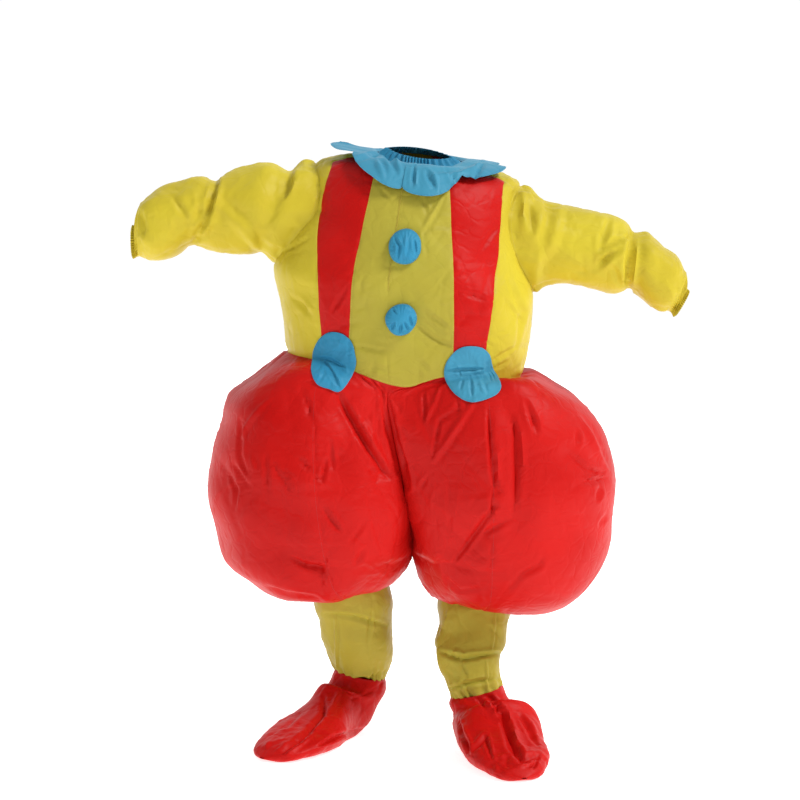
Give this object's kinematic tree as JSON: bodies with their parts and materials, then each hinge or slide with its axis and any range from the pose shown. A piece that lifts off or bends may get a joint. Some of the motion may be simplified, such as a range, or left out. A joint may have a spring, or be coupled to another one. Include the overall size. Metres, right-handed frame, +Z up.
{
  "type": "inflatable clown costume",
  "caption": "One-piece clown costume filled out with air: yellow bodice with red straps, blue petal collar, round red trousers, yellow lower legs and red shoe covers.",
  "frame": {"origin": "centre of the neck opening, where the wearer's shoulders and neck hold the costume up", "axes": "+Z up, -Y the front, +X the wearer's left"},
  "size_m": [1.2428, 0.672, 1.3402],
  "materials": {
    "yellow_cloth": "thin coated nylon taffeta, soft satin sheen, fine crackled creases",
    "red_cloth": "thin coated nylon taffeta, soft satin sheen, fine crackled creases",
    "blue_cloth": "thin coated nylon taffeta, soft satin sheen",
    "black_plastic": "moulded plastic with a fine grain"
  },
  "bodies": {
    "root": {"front_side_right": "yellow_cloth", "front_centre_right": "yellow_cloth", "front_centre_left": "yellow_cloth", "front_side_left": "yellow_cloth", "back_side_left": "yellow_cloth", "back_centre": "yellow_cloth", "back_side_right": "yellow_cloth", "sleeve_right": "yellow_cloth", "sleeve_left": "yellow_cloth", "cuff_right": "yellow_cloth", "cuff_left": "yellow_cloth", "lower_leg_right": "yellow_cloth", "lower_leg_left": "yellow_cloth", "front_strap_right": "red_cloth", "front_strap_left": "red_cloth", "back_strap_left": "red_cloth", "back_strap_right": "red_cloth", "trouser_front_inner_right": "red_cloth", "trouser_front_outer_right": "red_cloth", "trouser_back_outer_right": "red_cloth", "trouser_back_inner_right": "red_cloth", "trouser_front_inner_left": "red_cloth", "trouser_front_outer_left": "red_cloth", "trouser_back_outer_left": "red_cloth", "trouser_back_inner_left": "red_cloth", "shoe_cover_right": "red_cloth", "shoe_cover_left": "red_cloth", "collar_right": "blue_cloth", "collar_left": "blue_cloth", "neck_gather": "blue_cloth", "button_upper": "blue_cloth", "button_lower": "blue_cloth", "strap_disc_right": "blue_cloth", "strap_disc_left": "blue_cloth", "blower": "black_plastic"}
  },
  "joints": []
}
